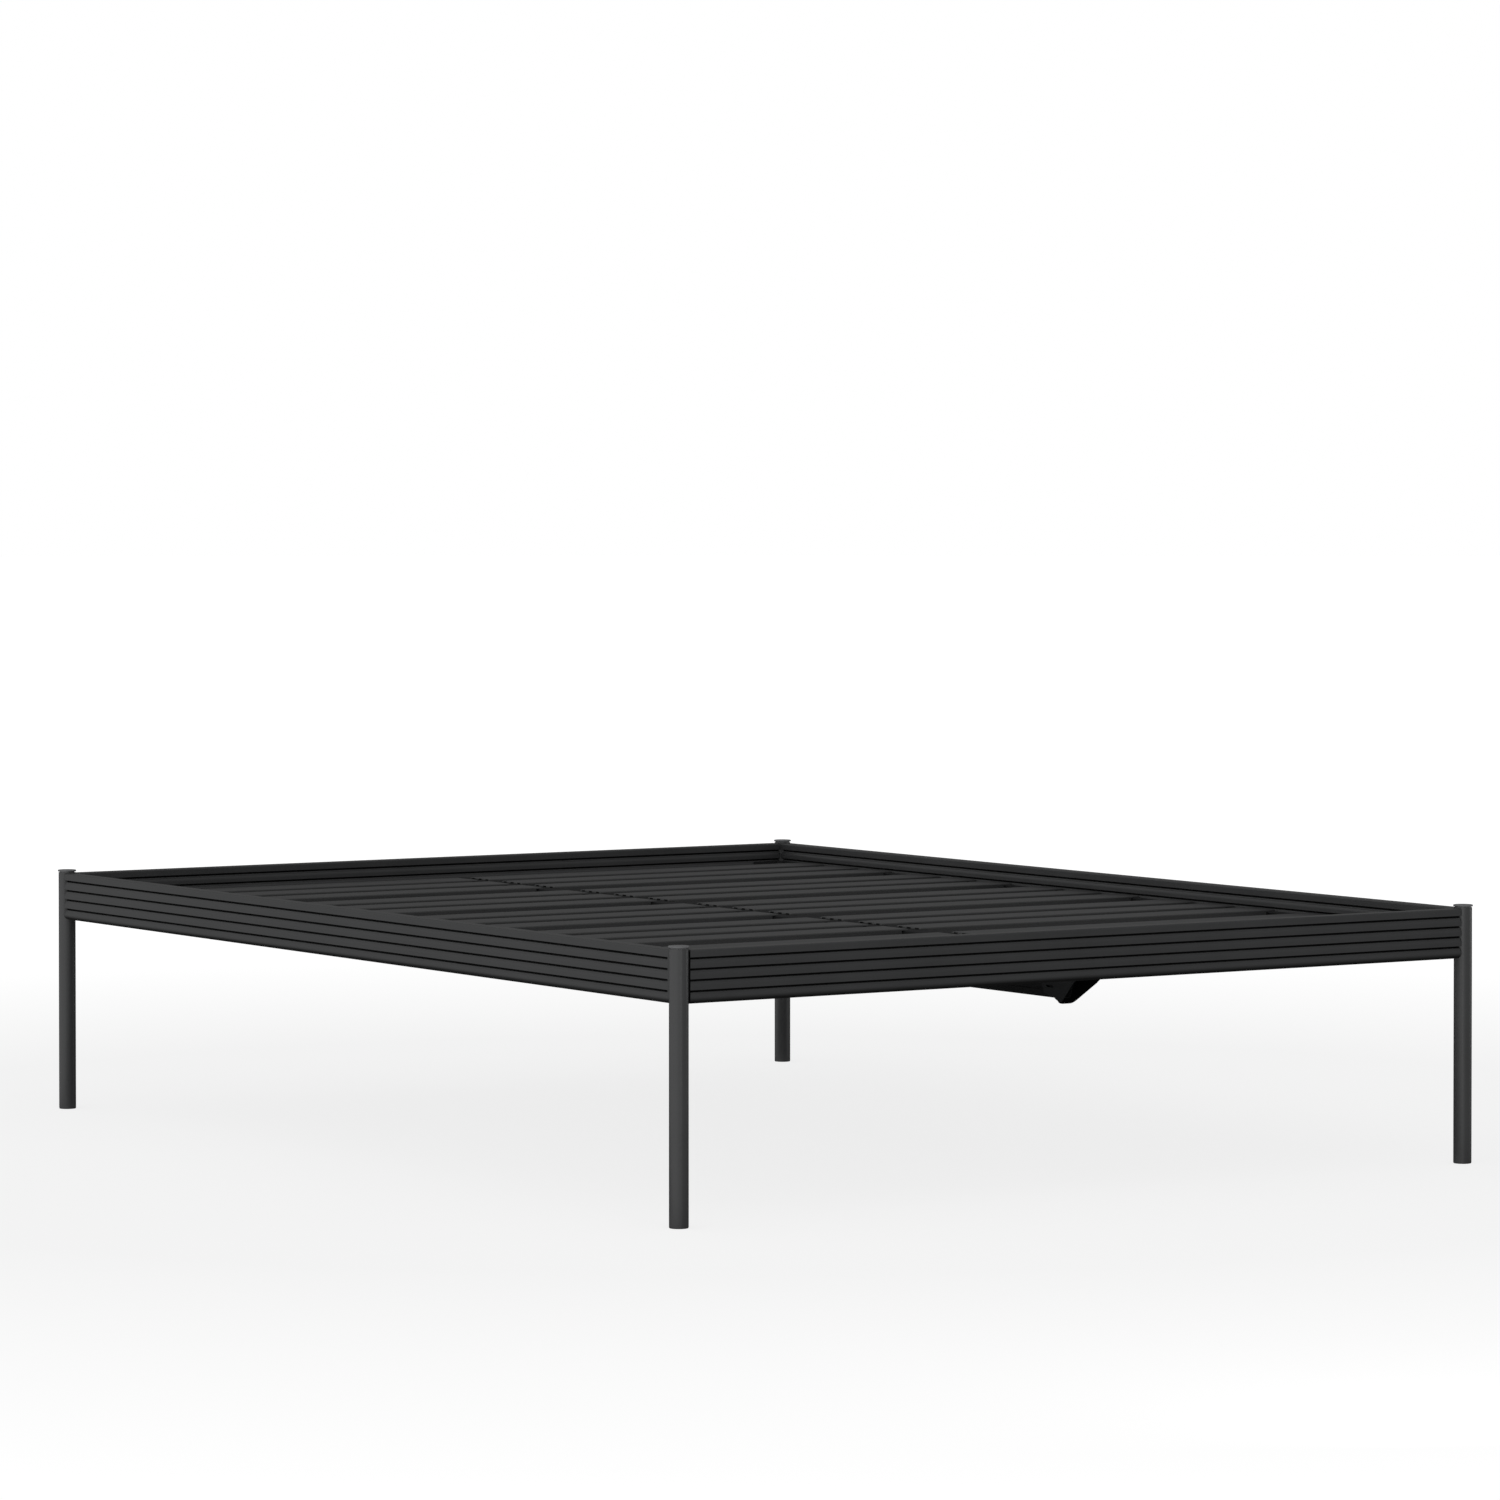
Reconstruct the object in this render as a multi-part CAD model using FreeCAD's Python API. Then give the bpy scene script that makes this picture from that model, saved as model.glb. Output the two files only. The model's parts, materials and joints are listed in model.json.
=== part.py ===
import FreeCAD, Part
import os
from math import cos, sin, radians, sqrt, tan

# Platform bed frame in powder-coated steel: four round legs, four ribbed rails, a centre
# beam in two hangers, and thirty folded slats. Millimetres, +Z up, +Y towards the head end,
# +X towards the right-hand side seen from the foot end. The origin is on the floor, under
# the middle of the bed.

V = FreeCAD.Vector

# ---- overall --------------------------------------------------------------------------
AXIS_LENGTH = 2028.0      # leg axis to leg axis, foot to head
AXIS_WIDTH = 1533.0       # leg axis to leg axis, side to side
HEIGHT = 427.0            # floor to the top of the leg caps

# ---- legs -----------------------------------------------------------------------------
LEG_R = 15.0
LEG_WALL = 1.5
CAP_R = 16.2
CAP_THICK = 3.0
CAP_EDGE_R = 1.2
NECK_R = 13.2             # neck under the cap, which leaves a shadow gap
NECK_HEIGHT = 1.6
GLIDE_R = 14.6
GLIDE_THICK = 1.6
GLIDE_EDGE_R = 0.6
PLUG_LENGTH = 14.0
PLUG_CLEARANCE = 0.1

# ---- ribbed rails ---------------------------------------------------------------------
RAIL_TOP = 421.0
RAIL_HEIGHT = 82.3
RAIL_HALF = 11.5          # half the rail's thickness
RAIL_WALL = 1.4
RAIL_TOP_R = 2.5
RAIL_BOTTOM_R = 9.0
RIB_PITCH = 16.63
GROOVES = 4
FIRST_LIP = 11.8          # rail top down to the lip of the first rib
GROOVE_DEPTH = 7.0
RIB_EDGE_R = 0.5          # on each lip
GROOVE_HEIGHT = 2.9       # lip down to the top of the shoulder
BEAD_R = 2.2              # round shoulder under each groove
BEAD_SETBACK = 3.4        # of the shoulder's centre, behind the rail's face
BEAD_END_ANGLE = -20.0
BULGE_START = 11.0        # lip down to where the rib reaches full thickness
BULGE_RISE = 0.35
LEG_GAP = 0.2             # between the leg and the curved plate on a rail's end
END_PLATE = 2.5
END_PLATE_HALF = 6.5      # half width of the end rails' plates; the side rails' are full width
MITRE_HALF = 0.3          # half the gap between two end plates at a leg

# ---- slats ----------------------------------------------------------------------------
DECK_TOP = 389.4
SLAT_WIDTH = 70.0
SLAT_SHEET = 1.3
SLAT_EDGE_R = 2.4
SLAT_LIP = 3.0            # height of the folded ends, which rest on the beam and ledges
SLAT_DEPTH = 15.0         # height of the side flanges between the supports
SLAT_PITCH = 113.5
GROUP_PITCH = 385.0
GROUPS = 5
SLATS_PER_GROUP = 3
CENTRE_GAP = 26.0         # between the ends of a left and a right slat
RAIL_CLEARANCE = 3.0      # between a slat's outer end and the rail
FLANGE_SETBACK = 4.0      # the side flanges stop this far before a support
SLOT_COUNT = 3
SLOT_WIDTH = 10.8
SLOT_HEIGHT = 2.2
SLOT_PITCH = 23.7

# ---- centre beam and hangers ----------------------------------------------------------
BEAM_BOTTOM = 305.3
BEAM_HALF = 21.0
BEAM_TOP_R = 3.0
BEAM_KEEL_HALF = 12.0     # half width where the keel's round corners start
BEAM_KEEL_R = 4.0
BEAM_WALL = 1.5
BEAM_GROOVES = 4
BEAM_FIRST_GROOVE = 318.5  # the taper starts at the groove above this one
BEAM_GROOVE_DEPTH = 2.2
BEAM_GROOVE_HALF = 1.4    # half height of a groove's mouth
BEAM_GROOVE_FLOOR = 0.6   # its floor, as a share of its mouth
BEAM_START = 62.0         # leg axis line to the beam's end

HANGER_SHEET = 2.5
HANGER_BOTTOM = 297.0
HANGER_HALF = 24.4
HANGER_KNEE_Z = 332.0     # the sides are upright above this
HANGER_TAPER = 19.2       # degrees that they lean in below it
HANGER_KEEL_X = 7.0       # centre of the bottom corner
HANGER_KEEL_R = 8.0
HANGER_TOP = 379.0
# In side view, (distance from the leg axis line into the bed, height):
HANGER_FRONT_TOP = (1.1, 338.2)
HANGER_FRONT_FOOT = (58.9, 296.0)
HANGER_HEEL = ((64.0, 300.4), (67.0, 303.0), (70.5, 306.8), (94.5, 312.5))
HANGER_REACH = 94.0       # leg axis line to the rear edge
HANGER_STEP = 61.5        # leg axis line to the step in the keel
HANGER_STEP_RISE = 3.0
SEAT_START = 59.5         # leg axis line to the beam's seat, which fills the keel behind it
SEAT_GAP = 0.2            # between the beam and its seat
HANGER_SLOT = (63.0, 83.0)        # start and end of the slot in one side
HANGER_SLOT_Z = 324.8
HANGER_SLOT_R = 1.8
HANGER_PLATE_HALF = 43.0
HANGER_PLATE_BOTTOM = 345.0
HANGER_PLATE_R = 5.0
HANGER_SCREW_X = 34.0
HANGER_SCREW_Z = (353.0, 370.0)
BEAM_BOLT_Y = 84.0        # leg axis line to the bolt through beam and hanger
BEAM_BOLT_Z = 352.0

# ---- slat ledges and corner brackets --------------------------------------------------
LEDGE_WIDTH = 18.5
LEDGE_DROP = 32.0
LEDGE_SHEET = 2.5
LEDGE_BEND_R = 3.5
LEDGE_HALF_LENGTH = 937.0
LEDGE_SCREWS = 7
LEDGE_SCREW_PITCH = 295.0
LEDGE_SCREW_Z = 366.0

BRACKET_FLANGE = 62.0
BRACKET_CHAMFER = 9.0
BRACKET_SHEET = 3.0
BRACKET_TOP = 388.0
BRACKET_HEIGHT = 44.0
BRACKET_BOLTS = (36.0, 60.0)      # from the leg axis, along each flange
LEG_BOLT_RISE = 11.0              # leg bolts sit this far above and below the middle

# ---- fasteners ------------------------------------------------------------------------
M6_R = 3.0
M6_HEAD_R = 5.4
M6_HEAD_H = 3.2
M6_LENGTH = 12.0
M5_R = 2.5
M5_HEAD_R = 4.2
M5_HEAD_H = 3.0
M5_LENGTH = 17.5
SOCKET_R = 0.48                   # hexagon recess to its corners, as a share of the head's radius
SOCKET_DEPTH = 0.7                # its depth, as a share of the head's height
HEAD_ROUND = 0.55                 # the head's edge radius, as a share of its height
HOLE_CLEARANCE = 0.3
SPACER_R = 4.4
NOTCH_CLEARANCE = 0.6             # around a spacer, where a rail's corner is notched for it
CUT = 5.0                         # how far a cutting shape runs past what it cuts

# ---- worked out -----------------------------------------------------------------------
HALF_L = AXIS_LENGTH / 2
HALF_W = AXIS_WIDTH / 2
RAIL_BOTTOM = RAIL_TOP - RAIL_HEIGHT
INNER_X = HALF_W - RAIL_HALF
INNER_Y = HALF_L - RAIL_HALF
SADDLE_R = LEG_R + LEG_GAP
COPE_R = SADDLE_R + END_PLATE
TUBE_TOP = HEIGHT - CAP_THICK - NECK_HEIGHT
BEAM_TOP = DECK_TOP - SLAT_LIP
BEAM_TAPER_TOP = BEAM_FIRST_GROOVE + RIB_PITCH
BRACKET_MIDDLE = BRACKET_TOP - BRACKET_HEIGHT / 2
BRACKET_FACE = sqrt(2) * (RAIL_HALF + BRACKET_CHAMFER / 2)   # leg axis to the chamfer's back
SLAT_LENGTH = INNER_X - RAIL_CLEARANCE - CENTRE_GAP / 2

CORNERS = {
    "foot_left": (-1, -1),
    "foot_right": (1, -1),
    "head_left": (-1, 1),
    "head_right": (1, 1),
}
LEFT, RIGHT, FOOT, HEAD = -1, 1, -1, 1


# ---- drawing helpers ------------------------------------------------------------------
def save(shape, node):
    """Write one sub-part to its STEP file."""
    assert shape.isValid(), node
    shape.exportStep("parts/" + node + ".step")


def cylinder(radius, start, end):
    """Round bar between two points."""
    axis = end - start
    return Part.makeCylinder(radius, axis.Length, start, axis)


def arc(cx, cz, radius, first, last):
    """Start, middle and end of an arc, angles in degrees; the middle is marked as a bend."""
    middle = (first + last) / 2
    at = [(cx + radius * cos(radians(a)), cz + radius * sin(radians(a))) for a in (first, middle, last)]
    return [at[0], at[1] + ("bend",), at[2]]


def outline(points):
    """Closed wire in the XZ plane; the stretch through a point marked as a bend is an arc."""
    edges = []
    here = V(points[0][0], 0, points[0][1])
    bend = None
    for point in points[1:] + points[:1]:
        there = V(point[0], 0, point[1])
        if len(point) == 3:
            bend = there
            continue
        if bend:
            edges.append(Part.Arc(here, bend, there).toShape())
        elif there.distanceToPoint(here) > 1e-6:
            edges.append(Part.LineSegment(here, there).toShape())
        here = there
        bend = None
    return Part.Wire(edges)


def mirrored(half):
    """Whole outline from its +X half."""
    return half + [(-point[0],) + tuple(point[1:]) for point in reversed(half)]


def hollow(half, wall):
    """Face of a hollow section, from a function that draws its half outline at an inset."""
    return Part.Face(outline(mirrored(half(0)))).cut(Part.Face(outline(mirrored(half(wall))))).Faces[0]


def along_y(face, start, end):
    """Face in the XZ plane, extruded from one Y to another."""
    solid = face.extrude(V(0, end - start, 0))
    solid.translate(V(0, start, 0))
    return solid


def turned(shape, degrees):
    """Copy turned about the vertical axis through the origin."""
    copy = shape.copy()
    copy.rotate(V(0, 0, 0), V(0, 0, 1), degrees)
    return copy


def mirror_xy(shape, sx, sy):
    """Copy mirrored across the bed's middle planes, from the +X +Y quarter."""
    copy = shape.copy()
    if sx < 0:
        copy = copy.mirror(V(0, 0, 0), V(1, 0, 0))
    if sy < 0:
        copy = copy.mirror(V(0, 0, 0), V(0, 1, 0))
    return copy


# ---- fasteners ------------------------------------------------------------------------
def bolt(seat, direction, radius, length, head_r, head_h):
    """Button-head bolt with a hexagon recess; seat is the middle of the head's underside."""
    way = V(*direction).normalize()
    shank = cylinder(radius, seat, seat + way * length)
    head = cylinder(head_r, seat, seat - way * head_h)
    rim = [e for e in head.Edges if e.Closed and e.CenterOfMass.distanceToPoint(seat) > head_h / 2]
    head = head.makeFillet(head_h * HEAD_ROUND, rim)
    side = way.cross(V(0, 0, 1)).normalize()
    up = side.cross(way)
    middle = seat - way * head_h
    corners = [side * cos(radians(60 * k)) + up * sin(radians(60 * k)) for k in range(7)]
    hexagon = Part.makePolygon([middle + corner * (head_r * SOCKET_R) for corner in corners])
    recess = Part.Face(hexagon).extrude(way * (head_h * SOCKET_DEPTH))
    return head.fuse(shank).removeSplitter().cut(recess)


def bolt_hole(seat, direction, radius, length):
    """Clearance hole for a bolt, from just outside its seat."""
    way = V(*direction).normalize()
    return cylinder(radius + HOLE_CLEARANCE, seat - way * CUT, seat + way * (length + 1.0))


def m5(seat):
    return bolt(seat[0], seat[1], M5_R, M5_LENGTH, M5_HEAD_R, M5_HEAD_H)


def m6(seat):
    return bolt(seat[0], seat[1], M6_R, M6_LENGTH, M6_HEAD_R, M6_HEAD_H)


def m6_holes(seats):
    return [bolt_hole(seat[0], seat[1], M6_R, M6_LENGTH) for seat in seats]


def bracket_seats(sx, sy):
    """Seats of the four M6 bolts that hold one corner bracket to its two rails."""
    side_x = sx * (INNER_X - BRACKET_SHEET)
    end_y = sy * (INNER_Y - BRACKET_SHEET)
    seats = [(V(side_x, sy * (HALF_L - off), BRACKET_MIDDLE), (sx, 0, 0)) for off in BRACKET_BOLTS]
    seats += [(V(sx * (HALF_W - off), end_y, BRACKET_MIDDLE), (0, sy, 0)) for off in BRACKET_BOLTS]
    return seats


def ledge_seats(sx):
    """Seats of the M6 screws along one slat ledge."""
    x = sx * (INNER_X - LEDGE_SHEET)
    steps = [k - (LEDGE_SCREWS - 1) / 2 for k in range(LEDGE_SCREWS)]
    return [(V(x, k * LEDGE_SCREW_PITCH, LEDGE_SCREW_Z), (sx, 0, 0)) for k in steps]


def hanger_seats(sy):
    """Seats of the four M6 screws that hold one hanger to its rail."""
    y = sy * (INNER_Y - HANGER_SHEET)
    return [(V(sx * HANGER_SCREW_X, y, z), (0, sy, 0)) for sx in (-1, 1) for z in HANGER_SCREW_Z]


def leg_bolt_seats(sx, sy):
    """Seats of the two M5 bolts that pull one leg onto its bracket, and their direction."""
    reach = (BRACKET_FACE + BRACKET_SHEET) / sqrt(2)
    x = sx * (HALF_W - reach)
    y = sy * (HALF_L - reach)
    heights = [BRACKET_MIDDLE - LEG_BOLT_RISE, BRACKET_MIDDLE + LEG_BOLT_RISE]
    return [(V(x, y, z), (sx, sy, 0)) for z in heights]


# ---- legs -----------------------------------------------------------------------------
def leg(sx, sy):
    """Round tube, open at both ends, drilled for its two bracket bolts."""
    foot = V(sx * HALF_W, sy * HALF_L, GLIDE_THICK)
    top = V(sx * HALF_W, sy * HALF_L, TUBE_TOP)
    tube = cylinder(LEG_R, foot, top).cut(cylinder(LEG_R - LEG_WALL, foot, top))
    drills = [bolt_hole(seat, way, M5_R, M5_LENGTH) for seat, way in leg_bolt_seats(sx, sy)]
    return tube.cut(drills)


def leg_cap(sx, sy):
    """Thin disc on a narrower neck, with a plug inside the tube."""
    x, y = sx * HALF_W, sy * HALF_L
    disc = cylinder(CAP_R, V(x, y, HEIGHT - CAP_THICK), V(x, y, HEIGHT))
    disc = disc.makeFillet(CAP_EDGE_R, [e for e in disc.Edges if e.Closed])
    neck = cylinder(NECK_R, V(x, y, TUBE_TOP), V(x, y, HEIGHT - CAP_THICK))
    plug_r = LEG_R - LEG_WALL - PLUG_CLEARANCE
    plug = cylinder(plug_r, V(x, y, TUBE_TOP - PLUG_LENGTH), V(x, y, TUBE_TOP))
    return disc.fuse([neck, plug])


def foot_glide(sx, sy):
    """Flat plastic glide under the tube, with a plug inside it."""
    x, y = sx * HALF_W, sy * HALF_L
    pad = cylinder(GLIDE_R, V(x, y, 0), V(x, y, GLIDE_THICK))
    under = [e for e in pad.Edges if e.Closed and e.CenterOfMass.z < GLIDE_THICK / 2]
    pad = pad.makeFillet(GLIDE_EDGE_R, under)
    plug_r = LEG_R - LEG_WALL - PLUG_CLEARANCE
    plug = cylinder(plug_r, V(x, y, GLIDE_THICK), V(x, y, GLIDE_THICK + PLUG_LENGTH))
    return pad.fuse(plug)


# ---- ribbed rails ---------------------------------------------------------------------
def rail_half(inset):
    """+X half of the rail's section: ribs with a tight lower lip, a groove and a round shoulder."""
    face = RAIL_HALF - inset
    root = RAIL_HALF - GROOVE_DEPTH - inset
    points = arc(RAIL_HALF - RAIL_TOP_R, RAIL_TOP - RAIL_TOP_R, RAIL_TOP_R - inset, 90, 0)
    for k in range(GROOVES):
        lip = RAIL_TOP - FIRST_LIP - k * RIB_PITCH
        bead_z = lip - GROOVE_HEIGHT - BEAD_R
        bead = arc(RAIL_HALF - BEAD_SETBACK, bead_z, BEAD_R - inset, 90, BEAD_END_ANGLE)
        full = (face, lip - BULGE_START)
        bulge_x = (bead[2][0] + full[0]) / 2 + BULGE_RISE
        bulge_z = (bead[2][1] + full[1]) / 2
        points += arc(face - RIB_EDGE_R, lip + inset + RIB_EDGE_R, RIB_EDGE_R, 0, -90)
        points += [(root, lip + inset), (root, lip - GROOVE_HEIGHT - inset)]
        points += bead + [(bulge_x, bulge_z, "bend"), full]
    underside = arc(RAIL_HALF - RAIL_BOTTOM_R, RAIL_BOTTOM + RAIL_BOTTOM_R, RAIL_BOTTOM_R - inset, 0, -90)
    return points + underside


def leg_line(radius, y):
    """Upright post on a leg's axis, past the rail's full height."""
    return cylinder(radius, V(0, y, RAIL_BOTTOM - CUT), V(0, y, RAIL_TOP + CUT))


def rail_body(half_length):
    """Hollow ribbed profile lying along Y, centred on the origin, its ends coped for the legs."""
    reach = half_length - RAIL_HALF
    body = along_y(hollow(rail_half, RAIL_WALL), -reach, reach)
    return body.cut([leg_line(COPE_R, -half_length), leg_line(COPE_R, half_length)])


def end_plates(half_length, half_width):
    """The two plates, curved to the legs, on one rail's ends, lying as in rail_body."""
    half = arc(RAIL_HALF - RAIL_TOP_R, RAIL_TOP - RAIL_TOP_R, RAIL_TOP_R, 90, 0)
    half += arc(RAIL_HALF - RAIL_BOTTOM_R, RAIL_BOTTOM + RAIL_BOTTOM_R, RAIL_BOTTOM_R, 0, -90)
    face = Part.Face(outline(mirrored(half)))
    plates = []
    for y in (-half_length, half_length):
        band = Part.makeBox(2 * half_width, 2 * COPE_R, HEIGHT, V(-half_width, y - COPE_R, 0))
        stub = along_y(face, y, y * (1 - COPE_R / half_length))
        plates.append(band.common(stub).common(leg_line(COPE_R, y)).cut(leg_line(SADDLE_R, y)))
    return plates


def mitre_gap(sx, sy):
    """Thin upright slot between the two end plates at one leg, on the corner's diagonal."""
    corner = V(0, -MITRE_HALF, RAIL_BOTTOM - CUT)
    slot = Part.makeBox(2 * COPE_R, 2 * MITRE_HALF, RAIL_HEIGHT + 2 * CUT, corner)
    slot = turned(slot, 225)
    slot.translate(V(HALF_W, HALF_L, 0))
    return mirror_xy(slot, sx, sy)


def spacer_notches(sx, sy):
    """Room for one leg's spacers, where they pass the corners of its two rails."""
    notches = []
    for seat, way in leg_bolt_seats(sx, sy):
        axis = V(sx * HALF_W, sy * HALF_L, seat.z)
        notches.append(cylinder(SPACER_R + NOTCH_CLEARANCE, seat, axis))
    return notches


def side_rail(sx):
    rail = rail_body(HALF_L)
    rail.translate(V(sx * HALF_W, 0, 0))
    seats = ledge_seats(sx) + bracket_seats(sx, FOOT)[:2] + bracket_seats(sx, HEAD)[:2]
    return rail.cut(m6_holes(seats) + spacer_notches(sx, FOOT) + spacer_notches(sx, HEAD))


def end_rail(sy):
    rail = turned(rail_body(HALF_W), 90)
    rail.translate(V(0, sy * HALF_L, 0))
    seats = hanger_seats(sy) + bracket_seats(LEFT, sy)[2:] + bracket_seats(RIGHT, sy)[2:]
    return rail.cut(m6_holes(seats) + spacer_notches(LEFT, sy) + spacer_notches(RIGHT, sy))


def rail_end_plates():
    """Every rail's end plates; those of the end rails are narrow, which leaves a gap at each leg."""
    plates = []
    for sx in (LEFT, RIGHT):
        for plate in end_plates(HALF_L, RAIL_HALF):
            plate.translate(V(sx * HALF_W, 0, 0))
            plates.append(plate)
    for sy in (FOOT, HEAD):
        for plate in end_plates(HALF_W, END_PLATE_HALF):
            plate = turned(plate, 90)
            plate.translate(V(0, sy * HALF_L, 0))
            plates.append(plate)
    cuts = []
    for sx, sy in CORNERS.values():
        cuts += spacer_notches(sx, sy) + [mitre_gap(sx, sy)]
    trimmed = [plate.cut(cuts).Solids for plate in plates]
    return Part.makeCompound([max(solids, key=lambda solid: solid.Volume) for solids in trimmed])


# ---- corner brackets ------------------------------------------------------------------
def bracket_path(inset):
    """Corner line of a bracket in plan, leg axis at the origin and the bed towards -X -Y."""
    near = RAIL_HALF + inset
    far = RAIL_HALF + BRACKET_CHAMFER + inset * (sqrt(2) - 1)
    tip = RAIL_HALF + BRACKET_FLANGE
    return [(-near, -tip), (-near, -far), (-far, -near), (-tip, -near)]


def corner_bracket(sx, sy):
    """Folded angle with a chamfered corner that faces the leg."""
    plan = bracket_path(0) + list(reversed(bracket_path(BRACKET_SHEET)))
    corner = [V(HALF_W + x, HALF_L + y, BRACKET_TOP - BRACKET_HEIGHT) for x, y in plan]
    face = Part.Face(Part.makePolygon(corner + corner[:1]))
    bracket = mirror_xy(face.extrude(V(0, 0, BRACKET_HEIGHT)), sx, sy)
    drills = m6_holes(bracket_seats(sx, sy))
    drills += [bolt_hole(seat, way, M5_R, M5_LENGTH) for seat, way in leg_bolt_seats(sx, sy)]
    return bracket.cut(drills)


def leg_spacers(sx, sy):
    """Two sleeves between bracket and leg, saddled to the tube."""
    axis = V(sx * HALF_W, sy * HALF_L, 0)
    tube = cylinder(LEG_R, axis, axis + V(0, 0, HEIGHT))
    sleeves = []
    for seat, way in leg_bolt_seats(sx, sy):
        inward = V(*way).normalize()
        start = seat + inward * BRACKET_SHEET
        sleeve = cylinder(SPACER_R, start, seat + inward * (BRACKET_FACE + BRACKET_SHEET))
        sleeves.append(sleeve.cut([tube, bolt_hole(seat, way, M5_R, M5_LENGTH * 2)]).Solids[0])
    return sleeves


# ---- centre beam ----------------------------------------------------------------------
def beam_side(z):
    """Half width of the beam at a height: straight above the taper, narrowing to the keel."""
    start = BEAM_BOTTOM + BEAM_KEEL_R
    share = min(1.0, max(0.0, (z - start) / (BEAM_TAPER_TOP - start)))
    return BEAM_KEEL_HALF + share * (BEAM_HALF - BEAM_KEEL_HALF)


def beam_half(inset):
    """+X half of the beam's section, with grooves that echo the rails."""
    points = arc(BEAM_HALF - BEAM_TOP_R, BEAM_TOP - BEAM_TOP_R, BEAM_TOP_R - inset, 90, 0)
    for k in reversed(range(BEAM_GROOVES)):
        z = BEAM_FIRST_GROOVE + k * RIB_PITCH
        mouth = BEAM_GROOVE_HALF + inset / 2
        floor = BEAM_GROOVE_HALF * BEAM_GROOVE_FLOOR + inset / 2
        root = beam_side(z) - BEAM_GROOVE_DEPTH - inset
        points += [(beam_side(z + mouth) - inset, z + mouth), (root, z + floor)]
        points += [(root, z - floor), (beam_side(z - mouth) - inset, z - mouth)]
    keel = arc(BEAM_KEEL_HALF - BEAM_KEEL_R, BEAM_BOTTOM + BEAM_KEEL_R, BEAM_KEEL_R - inset, 0, -90)
    return points + keel


def centre_beam():
    """Hollow keel-shaped beam from hanger to hanger, drilled for its two through bolts."""
    reach = HALF_L - BEAM_START
    beam = along_y(hollow(beam_half, BEAM_WALL), -reach, reach)
    return beam.cut([beam_bolt_hole(sy) for sy in (FOOT, HEAD)])


def beam_bolt_line(sy, reach):
    """A point each side of the beam, on the line of its through bolt."""
    y = sy * (HALF_L - BEAM_BOLT_Y)
    return V(-reach, y, BEAM_BOLT_Z), V(reach, y, BEAM_BOLT_Z)


def beam_bolt_hole(sy):
    return cylinder(M6_R + HOLE_CLEARANCE, *beam_bolt_line(sy, HANGER_HALF + CUT))


def beam_bolt(sy):
    """Through bolt with a head on each side of the hanger."""
    left, right = beam_bolt_line(sy, HANGER_HALF)
    halves = [bolt(left, (1, 0, 0), M6_R, HANGER_HALF, M6_HEAD_R, M6_HEAD_H)]
    halves += [bolt(right, (-1, 0, 0), M6_R, HANGER_HALF, M6_HEAD_R, M6_HEAD_H)]
    return halves[0].fuse(halves[1]).removeSplitter()


# ---- hangers --------------------------------------------------------------------------
def hanger_half(inset, bottom):
    """+X side of the hanger's cradle section, from its top down to the middle of its keel."""
    side = HANGER_HALF - inset
    knee_z = HANGER_KNEE_Z + inset * tan(radians(HANGER_TAPER / 2))
    keel = arc(HANGER_KEEL_X, bottom + HANGER_KEEL_R, HANGER_KEEL_R - inset, -HANGER_TAPER, -90)
    return [(side, HANGER_TOP + inset), (side, knee_z)] + keel


def hanger_length(start, end, bottom, floor):
    """Stretch of the open cradle, filled up to its floor; Y counts from the leg axis line."""
    outer = Part.Face(outline(mirrored(hanger_half(0, bottom))))
    inner = Part.Face(outline(mirrored(hanger_half(HANGER_SHEET, bottom))))
    filled = Part.makeBox(2 * HANGER_HALF, end - start + 2 * CUT, floor, V(-HANGER_HALF, start - CUT, 0))
    return along_y(outer, start, end).cut(along_y(inner, start - CUT, end + CUT).cut(filled))


def hanger_blank():
    """Cradle before its ends are trimmed: open front, seat for the beam, keel stepped up behind."""
    seat_top = BEAM_BOTTOM - SEAT_GAP
    front = hanger_length(HANGER_FRONT_TOP[0], SEAT_START, HANGER_BOTTOM, HANGER_BOTTOM)
    middle = hanger_length(SEAT_START, HANGER_STEP, HANGER_BOTTOM, seat_top)
    rear = hanger_length(HANGER_STEP, HANGER_REACH, HANGER_BOTTOM + HANGER_STEP_RISE, seat_top)
    return front.fuse([middle, rear])


def side_cut(points, left=-HANGER_PLATE_HALF - CUT, right=HANGER_PLATE_HALF + CUT):
    """Block that trims the hanger, from corners in the YZ plane."""
    corner = [V(left, y, z) for y, z in points]
    return Part.Face(Part.makePolygon(corner + corner[:1])).extrude(V(right - left, 0, 0))


def hanger_slot():
    """Block with round ends, for the slot through the -X side."""
    start, end = [y + way * HANGER_SLOT_R for y, way in zip(HANGER_SLOT, (1, -1))]
    low, high = HANGER_SLOT_Z - HANGER_SLOT_R, HANGER_SLOT_Z + HANGER_SLOT_R
    middle = side_cut([(start, low), (end, low), (end, high), (start, high)], right=0)
    outside = V(-HANGER_PLATE_HALF - CUT, 0, 0)
    centres = [V(0, y, HANGER_SLOT_Z) for y in (start, end)]
    return middle.fuse([cylinder(HANGER_SLOT_R, at + outside, at) for at in centres])


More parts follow.
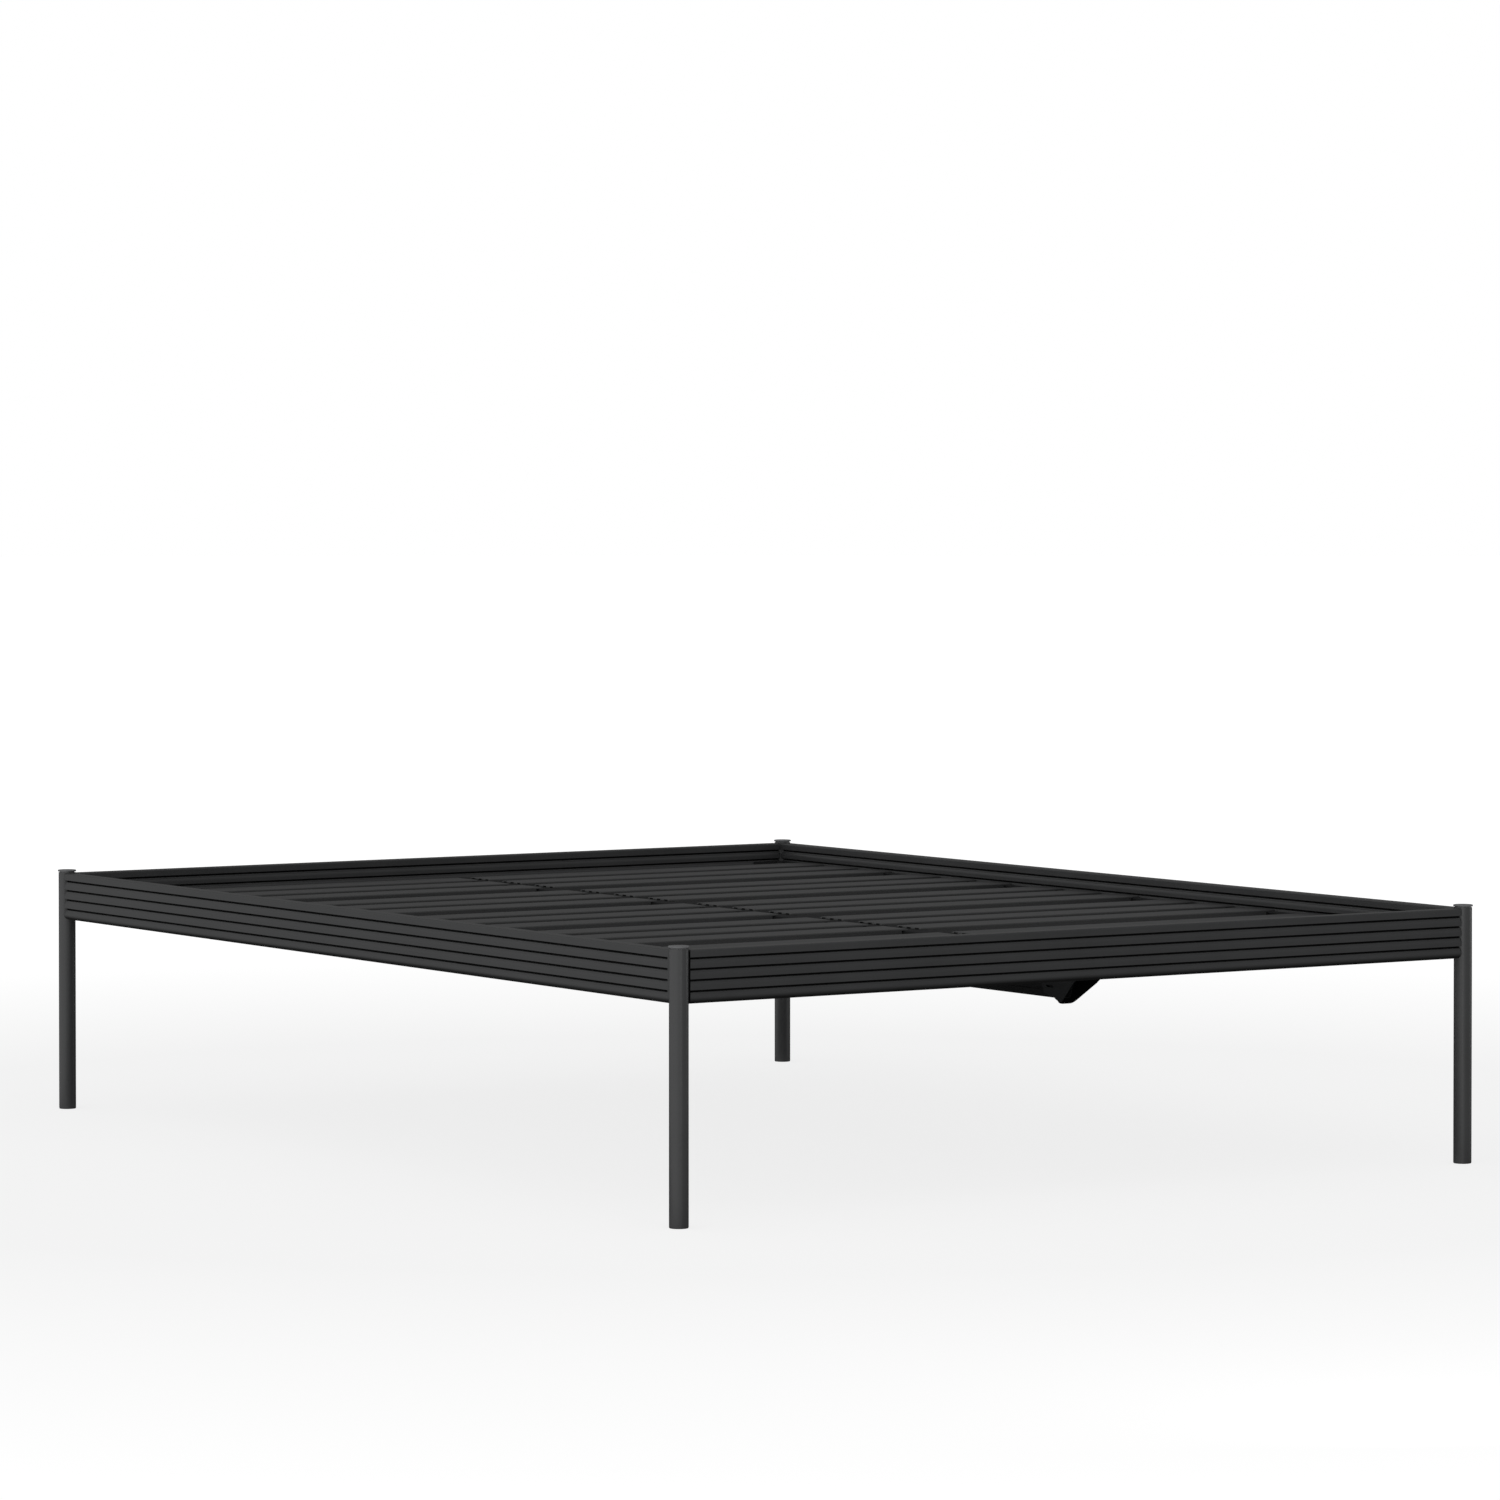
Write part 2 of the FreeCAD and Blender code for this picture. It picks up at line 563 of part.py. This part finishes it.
def beam_hanger(sy):
    """Cradle for one end of the beam, on a back plate screwed to the rail; alike at both ends."""
    below, above = HANGER_BOTTOM - CUT, HANGER_TOP + CUT
    front_z = HANGER_FRONT_TOP[1]
    foot_y = HANGER_FRONT_FOOT[0]
    heel_z = HANGER_HEEL[-1][1]
    front = side_cut([HANGER_FRONT_TOP, HANGER_FRONT_FOOT, (foot_y, below), (0, below), (0, front_z)])
    behind = HANGER_REACH + CUT
    heel = side_cut([(HANGER_HEEL[0][0], below), *HANGER_HEEL, (behind, heel_z), (behind, below)])
    under_rail = side_cut([(0, front_z), (RAIL_HALF, front_z), (RAIL_HALF, above), (0, above)])
    cradle = hanger_blank().cut([front, heel, under_rail, hanger_slot()])
    plate = Part.makeBox(2 * HANGER_PLATE_HALF, HANGER_SHEET, HANGER_TOP - HANGER_PLATE_BOTTOM,
                         V(-HANGER_PLATE_HALF, RAIL_HALF, HANGER_PLATE_BOTTOM))
    upright = [e for e in plate.Edges if abs(e.Vertexes[0].Y - e.Vertexes[1].Y) > 1]
    hanger = cradle.fuse(plate.makeFillet(HANGER_PLATE_R, upright)).removeSplitter()
    hanger.translate(V(0, -HALF_L, 0))
    if sy == HEAD:
        hanger = turned(hanger, 180)
    return hanger.cut(m6_holes(hanger_seats(sy)) + [beam_bolt_hole(sy)])


# ---- ledges ---------------------------------------------------------------------------
def slat_ledge(sx):
    """Rolled angle along a side rail; the slats' outer ends rest on its top."""
    top = BEAM_TOP
    low = top - LEDGE_DROP
    bend_x, bend_z = -LEDGE_BEND_R, top - LEDGE_BEND_R
    points = [(-LEDGE_WIDTH, top)] + arc(bend_x, bend_z, LEDGE_BEND_R, 90, 0)
    points += [(0, low), (-LEDGE_SHEET, low)]
    points += arc(bend_x, bend_z, LEDGE_BEND_R - LEDGE_SHEET, 0, 90)
    points += [(-LEDGE_WIDTH, top - LEDGE_SHEET)]
    ledge = along_y(Part.Face(outline(points)), -LEDGE_HALF_LENGTH, LEDGE_HALF_LENGTH)
    ledge.translate(V(INNER_X, 0, 0))
    return mirror_xy(ledge, sx, 1).cut(m6_holes(ledge_seats(sx)))


# ---- slats ----------------------------------------------------------------------------
def channel(depth, wall):
    """Outer block of a slat's section, or its hollow, lying along Y with its top at Z 0."""
    half = SLAT_WIDTH / 2 - wall
    radius = max(SLAT_EDGE_R - wall, 0.6)
    half_points = arc(half - radius, -wall - radius, radius, 90, 0)
    return Part.Face(outline(mirrored(half_points + [(half, -depth)])))


def slat():
    """Folded tray lying along Y: shallow over its supports, deep in between, slotted at Y 0."""
    rounded_ends = Part.Face(outline([(0, -SLAT_LIP)] + arc(SLAT_EDGE_R, -SLAT_EDGE_R, SLAT_EDGE_R, 180, 90)
                                     + arc(SLAT_LENGTH - SLAT_EDGE_R, -SLAT_EDGE_R, SLAT_EDGE_R, 90, 0)
                                     + [(SLAT_LENGTH, -SLAT_LIP)]))
    lengthwise = turned(rounded_ends, 90).extrude(V(SLAT_WIDTH, 0, 0))
    lengthwise.translate(V(-SLAT_WIDTH / 2, 0, 0))
    lid = along_y(channel(SLAT_LIP, 0), 0, SLAT_LENGTH).common(lengthwise)
    room = along_y(channel(SLAT_LIP + CUT, SLAT_SHEET), SLAT_SHEET, SLAT_LENGTH - SLAT_SHEET)
    deep_start = BEAM_HALF + FLANGE_SETBACK - CENTRE_GAP / 2
    deep_end = INNER_X - LEDGE_WIDTH - FLANGE_SETBACK - CENTRE_GAP / 2
    flanges = along_y(channel(SLAT_DEPTH, 0), deep_start, deep_end)
    under = along_y(channel(SLAT_DEPTH + CUT, SLAT_SHEET), deep_start - CUT, deep_end + CUT)
    tray = lid.cut(room).fuse(flanges.cut(under)).removeSplitter()
    slots = []
    for k in range(SLOT_COUNT):
        middle = (k - (SLOT_COUNT - 1) / 2) * SLOT_PITCH
        corner = V(middle - SLOT_WIDTH / 2, -1, -SLAT_LIP - 1)
        slots.append(Part.makeBox(SLOT_WIDTH, SLAT_SHEET + 2, SLOT_HEIGHT + 1, corner))
    return tray.cut(slots)


def slat_positions():
    """Y of each slat, foot to head: five groups of three."""
    groups = [g - (GROUPS - 1) / 2 for g in range(GROUPS)]
    places = [k - (SLATS_PER_GROUP - 1) / 2 for k in range(SLATS_PER_GROUP)]
    return [g * GROUP_PITCH + k * SLAT_PITCH for g in groups for k in places]


def placed_slat(blank, sx, y):
    piece = turned(blank, -90 * sx)
    piece.translate(V(sx * CENTRE_GAP / 2, y, DECK_TOP))
    return piece


# ---- the whole frame ------------------------------------------------------------------
def main():
    os.makedirs("parts", exist_ok=True)
    spacers, leg_bolts, rail_bolts = [], [], []
    for corner, (sx, sy) in CORNERS.items():
        save(leg(sx, sy), "leg_" + corner)
        save(leg_cap(sx, sy), "leg_cap_" + corner)
        save(foot_glide(sx, sy), "foot_glide_" + corner)
        save(corner_bracket(sx, sy), "corner_bracket_" + corner)
        spacers += leg_spacers(sx, sy)
        leg_bolts += [m5(seat) for seat in leg_bolt_seats(sx, sy)]
        rail_bolts += [m6(seat) for seat in bracket_seats(sx, sy)]
    save(Part.makeCompound(spacers), "leg_spacers")
    save(Part.makeCompound(leg_bolts), "leg_bolts")

    for sx, side in ((LEFT, "left"), (RIGHT, "right")):
        save(side_rail(sx), "side_rail_" + side)
        save(slat_ledge(sx), "slat_ledge_" + side)
        rail_bolts += [m6(seat) for seat in ledge_seats(sx)]
    for sy, end in ((FOOT, "foot"), (HEAD, "head")):
        save(end_rail(sy), end + "_rail")
        save(beam_hanger(sy), "beam_hanger_" + end)
        rail_bolts += [m6(seat) for seat in hanger_seats(sy)]
    save(rail_end_plates(), "rail_end_plates")
    save(Part.makeCompound(rail_bolts), "rail_bolts")
    save(centre_beam(), "centre_beam")
    save(Part.makeCompound([beam_bolt(sy) for sy in (FOOT, HEAD)]), "beam_bolts")

    blank = slat()
    for number, y in enumerate(slat_positions(), 1):
        save(placed_slat(blank, LEFT, y), "slat_left_%02d" % number)
        save(placed_slat(blank, RIGHT, y), "slat_right_%02d" % number)


main()
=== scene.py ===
import json
from math import cos, radians, sin

import bpy
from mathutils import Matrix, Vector


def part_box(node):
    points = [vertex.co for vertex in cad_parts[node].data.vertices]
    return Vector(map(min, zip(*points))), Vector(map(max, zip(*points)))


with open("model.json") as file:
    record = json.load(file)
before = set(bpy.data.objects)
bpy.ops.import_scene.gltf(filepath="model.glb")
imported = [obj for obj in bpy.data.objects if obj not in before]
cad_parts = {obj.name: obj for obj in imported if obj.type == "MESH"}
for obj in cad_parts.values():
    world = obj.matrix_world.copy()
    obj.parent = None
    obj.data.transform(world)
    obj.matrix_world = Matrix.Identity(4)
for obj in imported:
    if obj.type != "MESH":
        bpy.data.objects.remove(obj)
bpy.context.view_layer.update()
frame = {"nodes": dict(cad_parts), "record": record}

# Metres throughout, in the CAD frame: +Z up, +Y towards the head end, origin on the floor
# under the middle of the bed. The CAD solids are the visible shapes; this script gives them
# their finishes and sets up the studio.

# ---- camera ---------------------------------------------------------------------------
CAMERA_AT = (-5.7109, -8.7504, 1.1660)
CAMERA_YAW = 33.5361           # degrees from +Y towards +X
CAMERA_PITCH = 1.3566          # degrees below level
CAMERA_LENS = 146.305
CAMERA_SHIFT = (-0.02, -0.1)   # keeps the uprights nearly parallel
CAMERA_CLIP = 200.0            # past the floor's far edge

# ---- finishes: scales are per metre ---------------------------------------------------
COATS = {                      # slot: colour, roughness, specular level
    "rail_coat": (0.028, 0.42, 0.25),
    "leg_coat": (0.030, 0.33, 0.42),
    "slat_coat": (0.019, 0.50, 0.42),
    # the beam and bracket coats are darker than the rest: painted shade for the shade under the bed
    "beam_coat": (0.010, 0.60, 0.04),
    "bracket_coat": (0.015, 0.55, 0.04),
}
COOL_TINT = (0.98, 1.0, 1.03)
TONE_DRIFT = (0.86, 1.12)      # darkest and lightest patches of a coat, as shares of its colour
SPECKLE = 1.9                  # colour of its lighter grains, as a share
SPECKLE_SHARE = 0.35
GLOSS_DRIFT = 0.04             # roughness, either way, from patch to patch
GLOSS_GRAIN = 0.05             # and from grain to grain
PEEL_BUMP = (0.35, 0.0002)     # strength, depth
GRAIN_BUMP = (0.3, 0.00006)
RECESS_START = 0.0025          # behind a rail's face, where the painted shade starts
RECESS_DEEP = 0.005            # and where it is darkest
RECESS_CLEAR_TOP = 0.004       # it stays light down to half this depth below the rail's top
# colour of the painted shade in the rails' grooves, under the rails and inside the hangers
PAINTED_SHADE_COLOUR = 0.0012
UNDER_START = 0.0095           # height above a rail's underside where the painted shade starts
UNDER_DEEP = 0.0035            # and where it is darkest
CRADLE_FOOT = (0.3024, 0.0132) # painted shade inside the hangers: height and half width at the foot of the sides
CRADLE_KNEE = (0.3320, 0.0231) # and at the knee
GRAIN_SCALE = 1400.0           # powder grain
PEEL_SCALE = 260.0             # orange peel
CLOUD_SCALE = 5.0              # slow drift of colour and gloss along a part
PLASTICS = {                   # slot: colour, roughness, height of the scuffs above the floor
    "cap_plastic": (0.095, 0.42, 0.0),
    "glide_plastic": (0.02, 0.6, 0.003),
}
PLASTIC_TEXTURE_SCALE = 900.0
PLASTIC_CLOUD_SCALE = 40.0
PLASTIC_DRIFT = (0.88, 1.12)
PLASTIC_GLOSS = (-0.06, 0.08)  # added to the roughness over the texture
PLASTIC_BUMP = (0.4, 0.0001)
SCRATCH_SCALE = 350.0
SCRATCH_COLOUR = 4.0           # as a share of the plastic's colour
SCRATCH_SHARE = 0.8
ZINC = (0.06, 0.4)             # colour, roughness
ZINC_METALLIC = 0.8
ZINC_CLOUD_SCALE = 180.0
ZINC_GRAIN_SCALE = 2200.0
ZINC_DRIFT = (0.7, 1.35)
ZINC_GLOSS = (-0.08, 0.1)
ZINC_BUMP = (0.25, 0.00004)

# ---- lights and floor -----------------------------------------------------------------
FLOOR_RADIUS = 60.0
FLOOR_GLOW = 0.80              # what the camera sees of an unlit floor near the bed
FLOOR_FADE = (1.8, 5.0)        # distance over which the floor fades to white
FLOOR_BOUNCE = 0.14            # the light it gives back
FLOOR_MOTTLE = (3.0, 0.97)     # scale, and the darker patches as a share
FLOOR_ROUGHNESS = 0.8
FLOOR_PATCH = (1.1, 1.5)       # it gives none beyond this distance, and lets the surroundings through
SKY = 0.09                     # strength of the surroundings on every side
SKY_TOWARDS = {                # what is added towards each side: axis, sign, strength
    "left": ("X", -1.0, 1.05),
    "front": ("Y", -1.0, 0.40),
    "above": ("Z", 1.0, 0.27),
    "right": ("X", 1.0, 0.06),
}
SOFTBOXES = {                  # name: place, aim, width, height, watts
    "overhead": ((-0.5, -0.5, 4.2), (0.0, 0.0, 0.3), 5.0, 5.0, 30.0),
    "front_strip": ((-0.95, -3.1, 0.8), (0.0, -1.0, 0.3), 0.3, 1.8, 4.0),
    "right_fill": ((5.0, -1.9, 0.8), (0.0, -1.0, 0.2), 2.0, 1.4, 18.0),
}


def grey_plain(value):
    return (value, value, value, 1.0)


def grey(value):
    return tuple(value * tint for tint in COOL_TINT) + (1.0,)


class Graph:
    """A material's node tree with short calls for the nodes that the finishes use."""

    def __init__(self, name):
        self.material = bpy.data.materials.new(name)
        self.material.use_nodes = True
        self.tree = self.material.node_tree
        self.shader = self.tree.nodes["Principled BSDF"]
        self.place = self.add("ShaderNodeTexCoord").outputs["Object"]

    def add(self, kind, **settings):
        node = self.tree.nodes.new(kind)
        for key, value in settings.items():
            setattr(node, key, value)
        return node

    def link(self, source, target):
        self.tree.links.new(source, target)

    def noise(self, scale, detail=3.0, roughness=0.5):
        node = self.add("ShaderNodeTexNoise")
        node.inputs["Scale"].default_value = scale
        node.inputs["Detail"].default_value = detail
        node.inputs["Roughness"].default_value = roughness
        self.link(self.place, node.inputs["Vector"])
        return node.outputs["Fac"]

    def spread(self, source, low, high, start=0.3, end=0.7):
        """Maps source from start..end to low..high."""
        node = self.add("ShaderNodeMapRange")
        for name, value in (("From Min", start), ("From Max", end), ("To Min", low), ("To Max", high)):
            node.inputs[name].default_value = value
        self.link(source, node.inputs["Value"])
        return node.outputs["Result"]

    def combine(self, operation, first, second):
        node = self.add("ShaderNodeMath", operation=operation)
        for socket, value in zip(node.inputs, (first, second)):
            if isinstance(value, float):
                socket.default_value = value
            else:
                self.link(value, socket)
        return node.outputs["Value"]

    def blend(self, factor, first, second):
        """Colour between two, each a colour or another node's output."""
        node = self.add("ShaderNodeMix", data_type="RGBA")
        self.link(factor, node.inputs[0])
        for socket, value in ((node.inputs[6], first), (node.inputs[7], second)):
            if isinstance(value, tuple):
                socket.default_value = value
            else:
                self.link(value, socket)
        return node.outputs[2]

    def mix(self, factor, first, second):
        """Shader between two shader nodes."""
        node = self.add("ShaderNodeMixShader")
        self.link(factor, node.inputs[0])
        self.link(first.outputs[0], node.inputs[1])
        self.link(second.outputs[0], node.inputs[2])
        return node

    def bump(self, height, strength, distance, normal=None):
        node = self.add("ShaderNodeBump")
        node.inputs["Strength"].default_value = strength
        node.inputs["Distance"].default_value = distance
        self.link(height, node.inputs["Height"])
        if normal:
            self.link(normal, node.inputs["Normal"])
        return node.outputs["Normal"]

    def coordinates(self):
        node = self.add("ShaderNodeSeparateXYZ")
        self.link(self.place, node.inputs[0])
        return node.outputs


def off_middle(g, along, low, high):
    """Distance from the middle of a rail and of its twin across the bed, from its two faces."""
    aside = g.combine("SUBTRACT", g.combine("ABSOLUTE", along, 0.0), (low + high) / 2)
    return g.combine("ABSOLUTE", aside, 0.0)


def rail_painted_shade(g):
    """Painted shade: 1 deep in the rails' grooves and under the rails, 0 on their faces and along their
    tops.
    """
    x, y, z = g.coordinates()
    side_low, side_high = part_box("side_rail_right")
    low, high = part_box("head_rail")
    half, top = (high[1] - low[1]) / 2, high[2]
    from_side_rail = off_middle(g, x, side_low[0], side_high[0])
    from_end_rail = off_middle(g, y, low[1], high[1])
    nearest = g.combine("MINIMUM", from_side_rail, from_end_rail)
    deep = g.spread(nearest, 1.0, 0.0, half - RECESS_DEEP, half - RECESS_START)
    below_top = g.spread(z, 1.0, 0.0, top - RECESS_CLEAR_TOP, top - RECESS_CLEAR_TOP / 2)
    underneath = g.spread(z, 1.0, 0.0, low[2] + UNDER_DEEP, low[2] + UNDER_START)
    return g.combine("MAXIMUM", g.combine("MULTIPLY", deep, below_top), underneath)


def cradle_painted_shade(g):
    """Painted shade: 1 inside the beam hangers and on their keels, 0 on the outsides of their cheeks."""
    x, _, z = g.coordinates()
    (foot_z, foot_half), (knee_z, knee_half) = CRADLE_FOOT, CRADLE_KNEE
    half = g.spread(z, foot_half, knee_half, foot_z, knee_z)
    return g.combine("LESS_THAN", g.combine("ABSOLUTE", x, 0.0), half)


# coats that get painted shade, each with the mask of where it falls
SHADE_PAINTED_COATS = {"rail_coat": rail_painted_shade, "bracket_coat": cradle_painted_shade}


def powder_coat(name, colour, roughness, specular):
    """Satin black powder coat: fine grain, shallow orange peel, slow drift in tone; painted shade on the
    rails and hangers.
    """
    g = Graph(name)
    grain = g.noise(GRAIN_SCALE, 2.0)
    peel = g.noise(PEEL_SCALE, 3.0)
    cloud = g.noise(CLOUD_SCALE, 4.0, 0.6)
    tone = g.blend(g.spread(cloud, 0.0, 1.0), *[grey(colour * share) for share in TONE_DRIFT])
    speckle = g.spread(grain, 0.0, SPECKLE_SHARE, 0.45, 0.75)
    tone = g.blend(speckle, tone, grey(colour * SPECKLE))
    drift = g.spread(cloud, roughness - GLOSS_DRIFT, roughness + GLOSS_DRIFT)
    gloss = g.combine("ADD", drift, g.spread(grain, -GLOSS_GRAIN, GLOSS_GRAIN))
    # painted shade: the coat turns near black, and fully rough, where the mask is 1
    if name in SHADE_PAINTED_COATS:
        painted_shade_mask = SHADE_PAINTED_COATS[name](g)
        tone = g.blend(painted_shade_mask, tone, grey(PAINTED_SHADE_COLOUR))
        gloss = g.combine("MAXIMUM", gloss, painted_shade_mask)
    g.link(tone, g.shader.inputs["Base Color"])
    g.link(gloss, g.shader.inputs["Roughness"])
    shallow = g.bump(peel, *PEEL_BUMP)
    g.link(g.bump(grain, *GRAIN_BUMP, shallow), g.shader.inputs["Normal"])
    g.shader.inputs["Specular IOR Level"].default_value = specular
    return g.material


def moulded_plastic(name, colour, roughness, scuff_height):
    """Matte moulded plastic with a spark-eroded texture; scuffed below scuff_height."""
    g = Graph(name)
    texture = g.noise(PLASTIC_TEXTURE_SCALE, 4.0, 0.65)
    cloud = g.noise(PLASTIC_CLOUD_SCALE, 3.0)
    tone = g.blend(g.spread(cloud, 0.0, 1.0), *[grey(colour * share) for share in PLASTIC_DRIFT])
    if scuff_height:
        scratches = g.noise(SCRATCH_SCALE, 6.0, 0.8)
        low = g.spread(g.coordinates()["Z"], 1.0, 0.0, 0.0, scuff_height)
        marks = g.combine("MULTIPLY", g.spread(scratches, 0.0, SCRATCH_SHARE, 0.5, 0.62), low)
        tone = g.blend(marks, tone, grey(colour * SCRATCH_COLOUR))
    g.link(tone, g.shader.inputs["Base Color"])
    g.link(g.spread(texture, *[roughness + step for step in PLASTIC_GLOSS]), g.shader.inputs["Roughness"])
    g.link(g.bump(texture, *PLASTIC_BUMP), g.shader.inputs["Normal"])
    return g.material


def black_zinc(name, colour, roughness):
    """Black passivated zinc: dark, part metallic, with a slightly cloudy gloss."""
    g = Graph(name)
    cloud = g.noise(ZINC_CLOUD_SCALE, 4.0, 0.6)
    fine = g.noise(ZINC_GRAIN_SCALE, 2.0)
    tone = g.blend(g.spread(cloud, 0.0, 1.0), *[grey(colour * share) for share in ZINC_DRIFT])
    g.link(tone, g.shader.inputs["Base Color"])
    g.shader.inputs["Metallic"].default_value = ZINC_METALLIC
    g.link(g.spread(cloud, *[roughness + step for step in ZINC_GLOSS]), g.shader.inputs["Roughness"])
    g.link(g.bump(fine, *ZINC_BUMP), g.shader.inputs["Normal"])
    return g.material


def studio_floor(name):
    """Pale floor: white to the camera with a soft shadow; to the object, a small dim patch."""
    g = Graph(name)
    mottle_scale, darker = FLOOR_MOTTLE
    mottle = g.noise(mottle_scale, 5.0, 0.6)
    tone = g.blend(mottle, grey_plain(FLOOR_BOUNCE * darker), grey_plain(FLOOR_BOUNCE))
    g.link(tone, g.shader.inputs["Base Color"])
    g.shader.inputs["Roughness"].default_value = FLOOR_ROUGHNESS
    g.shader.inputs["Specular IOR Level"].default_value = 0.0
    away = g.add("ShaderNodeVectorMath", operation="LENGTH")
    g.link(g.place, away.inputs[0])
    away = away.outputs["Value"]
    glow = g.add("ShaderNodeEmission")
    g.link(g.spread(away, FLOOR_GLOW, 1.0, *FLOOR_FADE), glow.inputs["Strength"])
    seen = g.add("ShaderNodeAddShader")
    g.link(glow.outputs[0], seen.inputs[0])
    g.link(g.shader.outputs[0], seen.inputs[1])
    open_beyond = g.mix(g.spread(away, 0.0, 1.0, *FLOOR_PATCH), g.shader, g.add("ShaderNodeBsdfTransparent"))
    either = g.mix(g.add("ShaderNodeLightPath").outputs["Is Camera Ray"], open_beyond, seen)
    g.link(either.outputs[0], g.tree.nodes["Material Output"].inputs["Surface"])
    return g.material


def finishes():
    """One material for each of the record's slots."""
    made = {slot: powder_coat(slot, *values) for slot, values in COATS.items()}
    for slot, values in PLASTICS.items():
        made[slot] = moulded_plastic(slot, *values)
    made["fastener_zinc"] = black_zinc("fastener_zinc", *ZINC)
    return made


def dress(nodes, made):
    """Gives each CAD node the finish that the record names for it."""
    for row in frame["record"]["subparts"]:
        piece = nodes[row["node"]]
        piece.data.materials.clear()
        piece.data.materials.append(made[row["material_slot"]])


# ---- studio ---------------------------------------------------------------------------
def add_floor():
    bpy.ops.mesh.primitive_circle_add(vertices=96, radius=FLOOR_RADIUS, fill_type="NGON", location=(0, 0, 0))
    floor = bpy.context.object
    floor.name = "studio_floor"
    floor.data.materials.append(studio_floor("studio_floor"))


def softbox(name, at, aim, width, height, watts):
    data = bpy.data.lights.new(name, "AREA")
    data.shape = "RECTANGLE"
    data.size = width
    data.size_y = height
    data.energy = watts
    lamp = bpy.data.objects.new(name, data)
    lamp.location = at
    lamp.visible_camera = False
    lamp.rotation_euler = (Vector(aim) - Vector(at)).to_track_quat("-Z", "Y").to_euler()
    bpy.context.collection.objects.link(lamp)


def add_world():
    """White behind the object; to the object itself, brighter on the left, in front and above."""
    world = bpy.data.worlds.new("studio")
    bpy.context.scene.world = world
    world.use_nodes = True
    tree = world.node_tree
    add, link = tree.nodes.new, tree.links.new
    split = add("ShaderNodeSeparateXYZ")
    link(add("ShaderNodeTexCoord").outputs["Generated"], split.inputs[0])
    total = add("ShaderNodeValue").outputs[0]
    total.default_value = SKY
    for axis, sign, strength in SKY_TOWARDS.values():
        share = add("ShaderNodeMapRange")
        share.inputs["From Max"].default_value = sign
        share.inputs["To Max"].default_value = strength
        link(split.outputs[axis], share.inputs["Value"])
        plus = add("ShaderNodeMath")
        link(share.outputs["Result"], plus.inputs[0])
        link(total, plus.inputs[1])
        total = plus.outputs["Value"]
    lit = tree.nodes["Background"]
    link(total, lit.inputs["Strength"])
    white = add("ShaderNodeBackground")
    either = add("ShaderNodeMixShader")
    link(add("ShaderNodeLightPath").outputs["Is Camera Ray"], either.inputs[0])
    for number, shade in enumerate((lit, white), 1):
        shade.inputs["Color"].default_value = (1.0, 1.0, 1.0, 1.0)
        link(shade.outputs[0], either.inputs[number])
    link(either.outputs[0], tree.nodes["World Output"].inputs["Surface"])


def add_lights():
    add_world()
    for name, (at, aim, width, height, watts) in SOFTBOXES.items():
        softbox(name, at, aim, width, height, watts)


def add_camera():
    data = bpy.data.cameras.new("camera")
    data.lens = CAMERA_LENS
    data.shift_x, data.shift_y = CAMERA_SHIFT
    data.clip_end = CAMERA_CLIP
    camera = bpy.data.objects.new("camera", data)
    camera.location = CAMERA_AT
    yaw, pitch = radians(CAMERA_YAW), radians(CAMERA_PITCH)
    ahead = Vector((sin(yaw) * cos(pitch), cos(yaw) * cos(pitch), -sin(pitch)))
    camera.rotation_euler = ahead.to_track_quat("-Z", "Y").to_euler()
    bpy.context.collection.objects.link(camera)
    bpy.context.scene.camera = camera


dress(frame["nodes"], finishes())
add_floor()
add_lights()
add_camera()
bpy.context.scene.view_settings.view_transform = "Standard"
